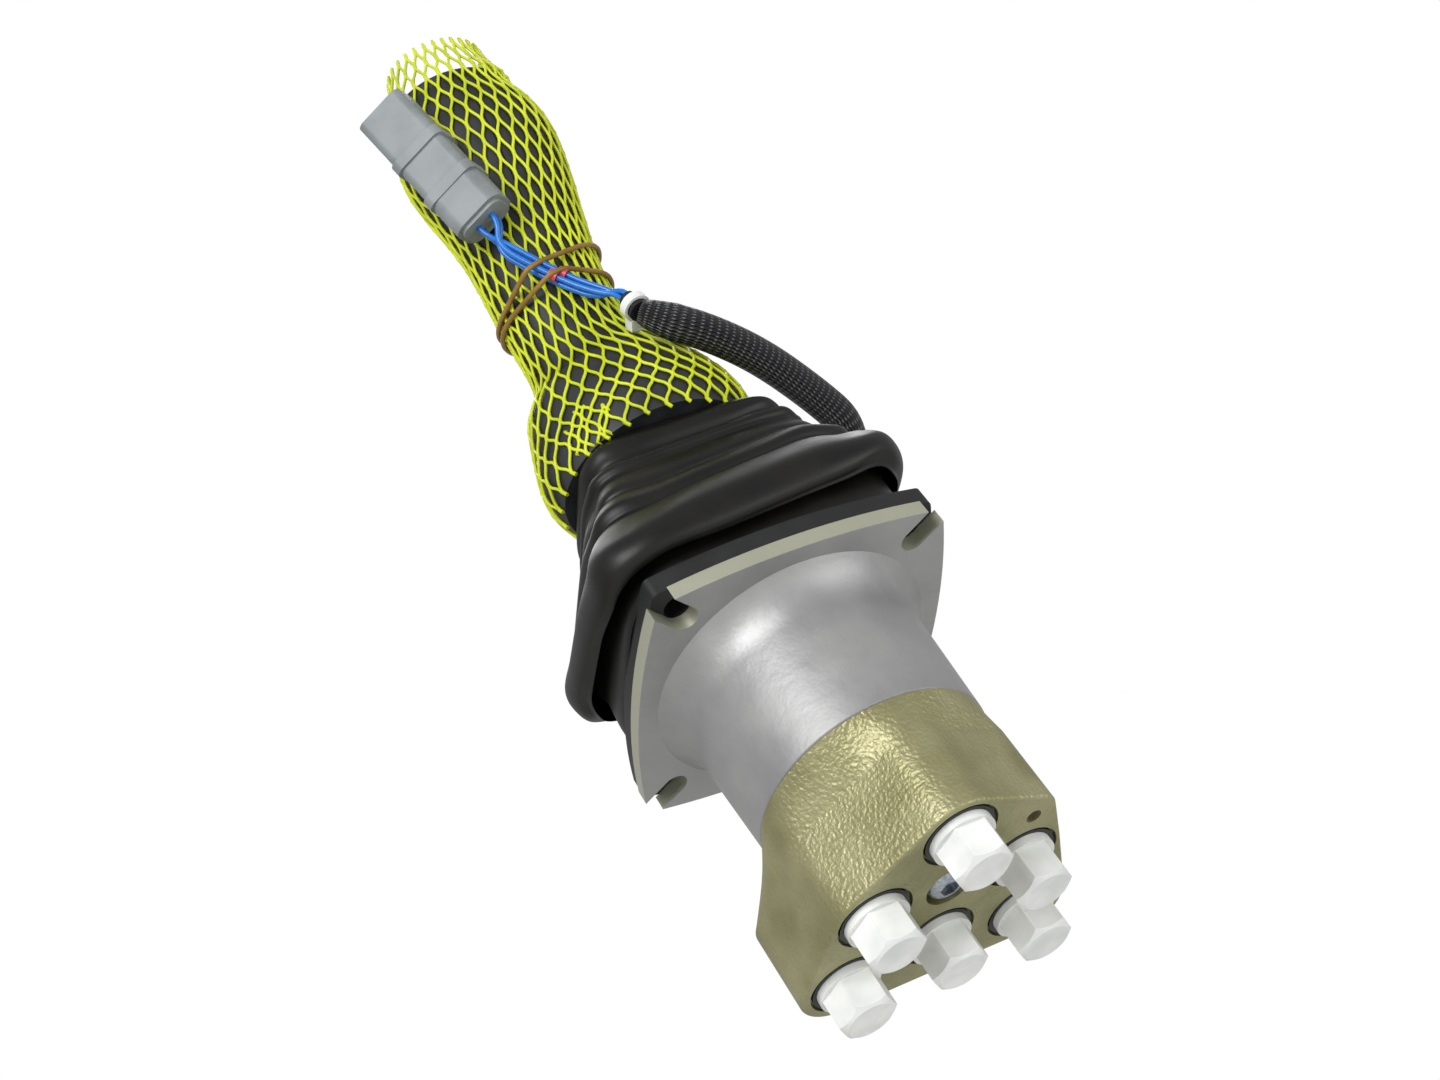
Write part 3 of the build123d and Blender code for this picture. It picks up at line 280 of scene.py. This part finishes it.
def line_piece(name, finish, runs, radius, cyclic=False, smooth=False, swell=None):
    """Round strands of one radius along runs of points, straight between them or as NURBS curves."""
    curve = bpy.data.curves.new(name, "CURVE")
    curve.dimensions = "3D"
    curve.bevel_depth = radius
    curve.bevel_resolution = 3 if smooth else 1
    curve.use_fill_caps = True
    for run in runs:
        spline = curve.splines.new("NURBS" if smooth else "POLY")
        spline.points.add(len(run) - 1)
        for place, point in zip(spline.points, run):
            place.co = (*point[:3], 1)
            place.radius = point[3] if len(point) > 3 else 1
        if smooth:
            spline.order_u = 3
            spline.use_endpoint_u = not cyclic
            spline.resolution_u = 8
        spline.use_cyclic_u = cyclic
        spline.use_smooth = True
    piece = bpy.data.objects.new(name, curve)
    bpy.context.scene.collection.objects.link(piece)
    paint(piece, finish)
    return piece


def centreline(points):
    """The points that a NURBS curve through a route's control points follows."""
    guide = line_piece("guide", "wire", [points], 0, smooth=True)
    found = bpy.data.meshes.new_from_object(guide)
    line = [v.co.copy() for v in found.vertices]
    bpy.data.objects.remove(guide)
    return line


def tube_piece(name, finish, line, radii, sides=32):
    """A mesh tube along a line, with its own radius at each point; its UV runs round it and along it in metres."""
    points, faces, along = [], [], [0.0]
    ahead = (line[1] - line[0]).normalized()
    across = ahead.orthogonal().normalized()
    for i, (middle, radius) in enumerate(zip(line, radii)):
        after = line[min(i + 1, len(line) - 1)] - line[max(i - 1, 0)]
        across = ahead.rotation_difference(after) @ across
        ahead = after.normalized()
        across = (across - ahead * across.dot(ahead)).normalized()
        up = ahead.cross(across)
        turns = [2 * math.pi * k / sides for k in range(sides)]
        points += [middle + (across * math.cos(t) + up * math.sin(t)) * radius for t in turns]
        if i:
            along.append(along[-1] + (middle - line[i - 1]).length)
    for i in range(len(line) - 1):
        for k in range(sides):
            a, b = i * sides + k, i * sides + (k + 1) % sides
            faces.append((a, b, b + sides, a + sides))
    faces.append(tuple(reversed(range(sides))))
    faces.append(tuple(range(len(points) - sides, len(points))))
    piece = mesh_piece(name, finish, points, faces)
    layer = piece.data.uv_layers.new(name="UVMap")
    for face in piece.data.polygons:
        rings = [piece.data.loops[j].vertex_index % sides for j in face.loop_indices]
        for j, ring in zip(face.loop_indices, rings):
            row = piece.data.loops[j].vertex_index // sides
            turn = ring + (sides if ring == 0 and max(rings) == sides - 1 else 0)
            layer.data[j].uv = (turn / sides, along[row])
    return piece


# ------------------------------------------------------------------ boot

BOOT_BACK = 6.0
BOOT_LEFT, BOOT_SWAY = 2.5, 0.06
BOOT_RISE_RIGHT, BOOT_RISE_REAR = 12.0, 20.0  # the rim climbs this much from its front left
BOOT_NARROW = 7.0
BOOT_RIM_Z, BOOT_TOP_Z = 15.0, 86.0
BOOT_SQUARE = 4.6  # power of the section's superellipse
# height and half width: up the hem, round the rim, up the skirt's face and into the groove, and back inside
SKIRT_LINE = [
    (12.5, 49.2), (12.5, 51.0), (20.0, 51.0), (27.0, 51.0), (30.2, 52.4), (30.6, 54.6), (29.0, 56.6), (22.0, 57.0),
    (16.5, 55.4), (13.6, 55.0), (12.9, 56.4), (14.4, 58.6), (18.5, 59.9), (24.0, 59.8), (30.0, 57.4), (35.5, 54.2),
    (38.6, 51.6), (40.2, 50.4), (42.0, 50.9), (44.4, 51.0), (47.2, 49.6), (49.8, 47.4), (50.7, 45.8), (50.6, 43.6),
    (48.6, 43.0), (40.0, 47.0), (30.0, 49.4),
]
NECK_LINE = [
    (50.2, 42.8), (51.4, 43.8), (53.0, 45.0), (56.0, 44.8), (60.0, 43.2), (63.6, 41.6), (65.6, 41.4), (67.6, 42.2),
    (69.8, 42.0), (72.0, 40.4), (73.6, 38.4), (74.8, 37.2), (76.4, 37.2), (78.8, 38.4), (81.8, 38.8), (84.8, 37.6),
    (86.0, 36.0), (86.0, 34.2), (84.0, 33.4), (79.0, 34.6), (74.0, 35.0), (64.0, 38.6), (54.0, 41.0),
]
BOOT_AROUND = 160


def curved(line, steps, closed=True):
    """Points along a smooth line through the given ones."""
    count = len(line)
    found = []
    for i in range(count):
        p = [line[(i + k - 1) % count] for k in range(4)]
        for j in range(steps):
            t = j / steps
            found.append(tuple(
                0.5 * (2 * p[1][d] + (p[2][d] - p[0][d]) * t
                       + (2 * p[0][d] - 5 * p[1][d] + 4 * p[2][d] - p[3][d]) * t * t
                       + (3 * p[1][d] - p[0][d] - 3 * p[2][d] + p[3][d]) * t ** 3)
                for d in range(len(line[0]))))
    return found


def boot_point(height, half, turn):
    """A place on the bellows, in metres."""
    c, s = math.cos(turn), math.sin(turn)
    power = 2 / BOOT_SQUARE
    x = half * math.copysign(abs(c) ** power, c)
    y = (half - BOOT_NARROW) * math.copysign(abs(s) ** power, s)
    free = min(1, max(0, (half - 50) / 6)) if height < 33 else 1
    drop = (BOOT_TOP_Z - height) / (BOOT_TOP_Z - BOOT_RIM_Z) * free
    rise = BOOT_RISE_RIGHT * drop * (0.5 + 0.5 * x / half)
    rise += BOOT_RISE_REAR * drop * (0.5 + 0.5 * y / (half - BOOT_NARROW))
    sway = BOOT_SWAY * (height - BOOT_RIM_Z) - BOOT_LEFT
    place = Vector((x + sway, y - BOOT_BACK, height + rise))
    rough = noise.noise(Vector((c * 2.1, s * 2.1, height * 0.045)))
    slack = 1.4 * rough * free * min(1, (BOOT_TOP_Z - height) / 8)
    place.x += slack * c
    place.y += slack * s
    place.z += 1.2 * slack
    return place * MM


def boot_piece(name, line):
    """One closed part of the bellows, turned from its section's line."""
    rows = curved(line, 4)
    points, faces = [], []
    for height, half in rows:
        points += [boot_point(height, half, 2 * math.pi * k / BOOT_AROUND) for k in range(BOOT_AROUND)]
    for i in range(len(rows)):
        j = (i + 1) % len(rows)
        for k in range(BOOT_AROUND):
            m = (k + 1) % BOOT_AROUND
            faces.append((i * BOOT_AROUND + k, i * BOOT_AROUND + m, j * BOOT_AROUND + m, j * BOOT_AROUND + k))
    return mesh_piece(name, "boot rubber", points, faces)


def make_boot():
    """The bellows in two parts that meet in a groove."""
    skirt = boot_piece("boot_skirt", SKIRT_LINE)
    neck = boot_piece("boot_neck", NECK_LINE)
    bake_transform(skirt)
    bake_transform(neck)
    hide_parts("boot")


make_boot()

# ------------------------------------------------------------------ net

NET_STRANDS = 28  # each way round the grip
NET_MESH = 8.4  # length of one side of a diamond
NET_STRAND_R = 0.58
NET_LOW_Z = 87.6  # the net is cut off just above the boot
NET_PLAIN_FROM = 64.0  # above this the rows lie square to the leaning axis
NET_LOW, NET_TOP = 30.0, 223.5
NET_WAVE = 0.55  # how nearly the strands run alongside each other where they join
NET_STUB = 2.2  # length of the cut end below each lowest joint
NET_STEPS = 6  # points along one side of a diamond


def net_surface():
    """Finds the net's outer surface: a function of place along the grip and turn round it."""
    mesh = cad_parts["net_sleeve"].data
    tree = BVHTree.FromPolygons([v.co for v in mesh.vertices], [list(p.vertices) for p in mesh.polygons])

    def at(s, turn):
        share = min(1, max(0, (s - NET_PLAIN_FROM) / 20))
        axis = lean_point(s, -3.0 - 4.0 * share, 0)
        away = (lean_point(s, math.cos(turn), math.sin(turn)) - lean_point(s, 0, 0)).normalized()
        hit = tree.ray_cast(axis + away * 0.09, -away)[0]
        return None if hit is None else hit - away * NET_STRAND_R * MM

    return at


def make_net():
    """Knotless diamond netting stretched over the hand rest and the grip, with cut ends below and above."""
    at = net_surface()

    def place(row, turn):
        low = (NET_LOW_Z - LEAN_Z + 30 * math.sin(turn) * math.sin(LEAN)) / math.cos(LEAN)
        share = (row - NET_LOW) / (NET_PLAIN_FROM - NET_LOW)
        return at(low + share * (NET_PLAIN_FROM - low) if share < 1 else row, turn)

    # how many half diamonds there are up to each place along the net
    counts, row, total = [(NET_LOW, 0.0)], NET_LOW, 0.0
    while row < NET_TOP:
        ring = [place(row, 2 * math.pi * k / 16) for k in range(16)]
        ring = [p for p in ring if p is not None]
        girth = sum((a - b).length for a, b in zip(ring, ring[1:] + ring[:1])) / MM * 1.02
        half_wide = girth / NET_STRANDS / 2
        half_tall = math.sqrt(max(NET_MESH ** 2 - half_wide ** 2, 4.0))
        row += half_tall / NET_STEPS
        total += 1 / NET_STEPS
        counts.append((row, total))
    rng = random.Random(7)
    runs = []
    for way in (1, -1):
        for k in range(NET_STRANDS):
            run = []
            for row, count in counts:
                step = count - NET_WAVE * math.sin(2 * math.pi * count) / (2 * math.pi)
                turn = 2 * math.pi / NET_STRANDS * (k + way * step / 2)
                point = place(min(row, NET_TOP), turn)
                if point is None:
                    continue
                near = abs(count - round(count)) < 0.01
                run.append((*point, 1.35 if near else 1.0))
            if way > 0:
                down = Vector(run[0][:3]) - Vector(run[NET_STEPS][:3])
                down = down.normalized() * NET_STUB * MM * rng.uniform(0.7, 1.3)
                run.insert(0, (*(Vector(run[0][:3]) + down), 1.25))
            runs.append(run)
    net = line_piece("net", "net", runs, NET_STRAND_R * MM)
    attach(net, "lever")
    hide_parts("net_sleeve")


make_net()

# ------------------------------------------------------------------ harness

LOOM_R, LOOM_END_R = 6.5, 4.0
LOOM_POINTS = [(25, 17, 106), (38, 33, 106), (50, 40, 94), (62, 31, 82), (70, 13, 80), (71, -5, 87)]
LOOM_LEAN = [(39.0, 61.4, 5.0), (51.0, 42.6, 20.6), (59.5, 24.5, 31.5), (66.0, 12.9, 34.4)]
ZIP_AT, ZIP_TO = (74.0, 5.0, 33.4), (82.0, 4.0, 31.0)
WIRE_LEAN = [(89.5, -0.6, 26.0), (98.0, -7.4, 23.4), (109.0, -15.6, 22.4), (121.6, -24.6, 22.4)]
PLUG_REAR, PLUG_MOUTH = (132.0, -25.9, 24.6), (187.7, -41.7, 26.4)
WIRE_R, WIRE_LEAD = 1.0, 4.0
WIRE_SPREAD_X, WIRE_SPREAD_OUT = 1.8, 1.5
PIN_X, PIN_Y = 3.2, 2.0
CONNECTOR_ROLL = math.radians(38)


def connector_frame():
    """Back of the connector: its place, the way across, the way out of its back and the way to its mouth."""
    rear, mouth = lean_point(*PLUG_REAR), lean_point(*PLUG_MOUTH)
    axis = (mouth - rear).normalized()
    front = Vector((0, -math.cos(LEAN), -math.sin(LEAN))) * math.cos(CONNECTOR_ROLL)
    front += Vector((-1, 0, 0)) * math.sin(CONNECTOR_ROLL)
    across = front.cross(axis).normalized()
    return rear, across, axis.cross(across), axis


def make_loom():
    """The braided loom, tied down at its end, with the wires that come out of it."""
    route = [Vector(p) * MM for p in LOOM_POINTS] + [lean_point(*p) for p in LOOM_LEAN]
    line = centreline(route + [lean_point(*ZIP_AT)])
    taper_from = (route[-1] - line[-1]).length
    radii = []
    for i, point in enumerate(line):
        share = min(1, (point - line[-1]).length / taper_from) if i > len(line) / 2 else 1
        radii.append((LOOM_END_R + (LOOM_R - LOOM_END_R) * share ** 0.6) * MM)
    loom = tube_piece("loom", "braid", line, radii)
    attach(loom, "lever")
    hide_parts("loom_sleeve")
    wires = make_wires()
    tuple(line[0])


def make_wires():
    """Four insulated wires from the shrink sleeve to the back of the connector."""
    rear, across, up, axis = connector_frame()
    start = lean_point(*ZIP_TO)
    out = (start - lean_point(*ZIP_AT)).normalized()
    side = out.orthogonal().normalized()
    rise = out.cross(side)
    runs = []
    for u, v in ((-1, -1), (1, -1), (-1, 1), (1, 1)):
        first = start + (side * (1.25 * u) + rise * (1.25 * v)) * MM
        last = rear + (across * (PIN_X * u) + up * (PIN_Y * v)) * MM
        middle = [lean_point(s, x + WIRE_SPREAD_X * u, o + WIRE_SPREAD_OUT * v) for s, x, o in WIRE_LEAN]
        runs.append([first, first + out * WIRE_LEAD * MM, *middle, last - axis * WIRE_LEAD * MM, last])
    wires = line_piece("wires", "wire", runs, WIRE_R * MM, smooth=True)
    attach(wires, "lever")
    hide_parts("harness_wires")
    return wires


make_loom()

BAND_R = 0.9
BAND_X, BAND_OUT = -8.5, 3.3
BAND_HALF_W, BAND_HALF_D = 24.6, 25.2
BANDS = [(112.5, 20.0), (104.0, 8.0)]  # level on the grip, and tilt down to the right


def taut(points):
    """The convex ring round points in a plane, as a stretched band lies."""
    rings = []
    for way in (1, -1):
        chain = []
        for p in sorted(points)[::way]:
            while len(chain) > 1:
                (ax, ay), (bx, by) = chain[-2:]
                if (bx - ax) * (p[1] - ay) - (by - ay) * (p[0] - ax) > 0:
                    break
                chain.pop()
            chain.append(p)
        rings += chain[:-1]
    return rings


def make_bands():
    """Two rubber bands stretched round the grip, over the wires."""
    at = net_surface()
    runs = []
    for level, tilt in BANDS:
        slope = math.tan(math.radians(tilt))
        ring = []
        for k in range(72):
            turn = 2 * math.pi * k / 72
            hit = at(level + slope * BAND_HALF_W * math.cos(turn), turn)
            out = -hit.y * math.cos(LEAN) - (hit.z - LEAN_Z * MM) * math.sin(LEAN)
            middle = Vector((BAND_X, 0))
            away = (Vector((hit.x, out)) / MM - middle)
            ring.append(tuple(middle + away * (1 + (NET_STRAND_R + BAND_R) / away.length)))
        (s0, x0, o0), (s1, x1, o1) = WIRE_LEAN[1:3]
        share = (level - s0) / (s1 - s0)
        x, out = x0 + (x1 - x0) * share, o0 + (o1 - o0) * share
        reach = WIRE_R + BAND_R + 0.2
        ring += [(x + side * (WIRE_SPREAD_X + reach), out + WIRE_SPREAD_OUT + reach * 0.6) for side in (-1, 1)]
        ring += [(x + side * WIRE_SPREAD_X, out + WIRE_SPREAD_OUT + reach) for side in (-1, 1)]
        runs.append([lean_point(level + slope * (x - BAND_X), x, out) for x, out in taut(ring)])
    bands = line_piece("bands", "band", runs, BAND_R * MM, cyclic=True, smooth=True)
    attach(bands, "lever")
    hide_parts("rubber_bands")


make_bands()

# ------------------------------------------------------------------ floor, light and camera

FLOOR_Z = -0.62


def plain(name, code):
    """A matt backdrop finish that looks bright to the camera and in reflections."""
    made = bpy.data.materials.new(name)
    made.use_nodes = True
    made.node_tree.nodes["Principled BSDF"].inputs["Base Color"].default_value = colour(code)
    made.node_tree.nodes["Principled BSDF"].inputs["Roughness"].default_value = 0.9
    return made


def make_floor():
    bpy.ops.mesh.primitive_plane_add(size=12, location=(0, 0, FLOOR_Z))
    floor = bpy.context.object
    floor.name = "floor"
    floor.data.materials.append(plain("pale_floor", "#EDEDEB"))


def make_world():
    """Soft even light, and white where the camera or a reflection sees past the object."""
    world = bpy.data.worlds.new("studio")
    bpy.context.scene.world = world
    world.use_nodes = True
    tree = world.node_tree
    tree.nodes.clear()
    rays = add(tree, "LightPath").outputs
    seen = add(tree, "Math", operation="MAXIMUM", in_0=rays["Is Camera Ray"], in_1=rays["Is Transmission Ray"]).outputs[0]
    strength = add(tree, "Mix", in_0=seen, in_2=0.5, in_3=1.0).outputs[0]
    back = add(tree, "Background", Color=(1, 1, 1, 1), Strength=strength)
    add(tree, "OutputWorld", Surface=back.outputs[0])


def lamp(name, place, size, power):
    """A soft square lamp aimed at the middle of the valve."""
    light = bpy.data.lights.new(name, "AREA")
    light.size = size
    light.energy = power
    made = bpy.data.objects.new(name, light)
    bpy.context.scene.collection.objects.link(made)
    made.location = place
    made.rotation_euler = (Vector((0, 0, 0.05)) - Vector(place)).to_track_quat("-Z", "Y").to_euler()


def make_camera():
    """A view from below and in front, from the left."""
    data = bpy.data.cameras.new("camera")
    data.sensor_width = 36.0
    data.lens = 52.36
    camera = bpy.data.objects.new("camera", data)
    bpy.context.scene.collection.objects.link(camera)
    camera.location = (-0.2488, -0.4993, -0.3680)
    camera.rotation_euler = Euler((math.radians(133.187), math.radians(27.595), math.radians(-3.460)), "XYZ")
    bpy.context.scene.camera = camera


make_floor()
make_world()
lamp("key", (-0.75, -0.95, 0.1), 0.6, 11)
lamp("fill", (0.8, -0.8, -0.45), 0.8, 5)
lamp("top", (0.2, 0.3, 1.1), 0.8, 7)
make_camera()
bpy.context.scene.view_settings.view_transform = "Standard"
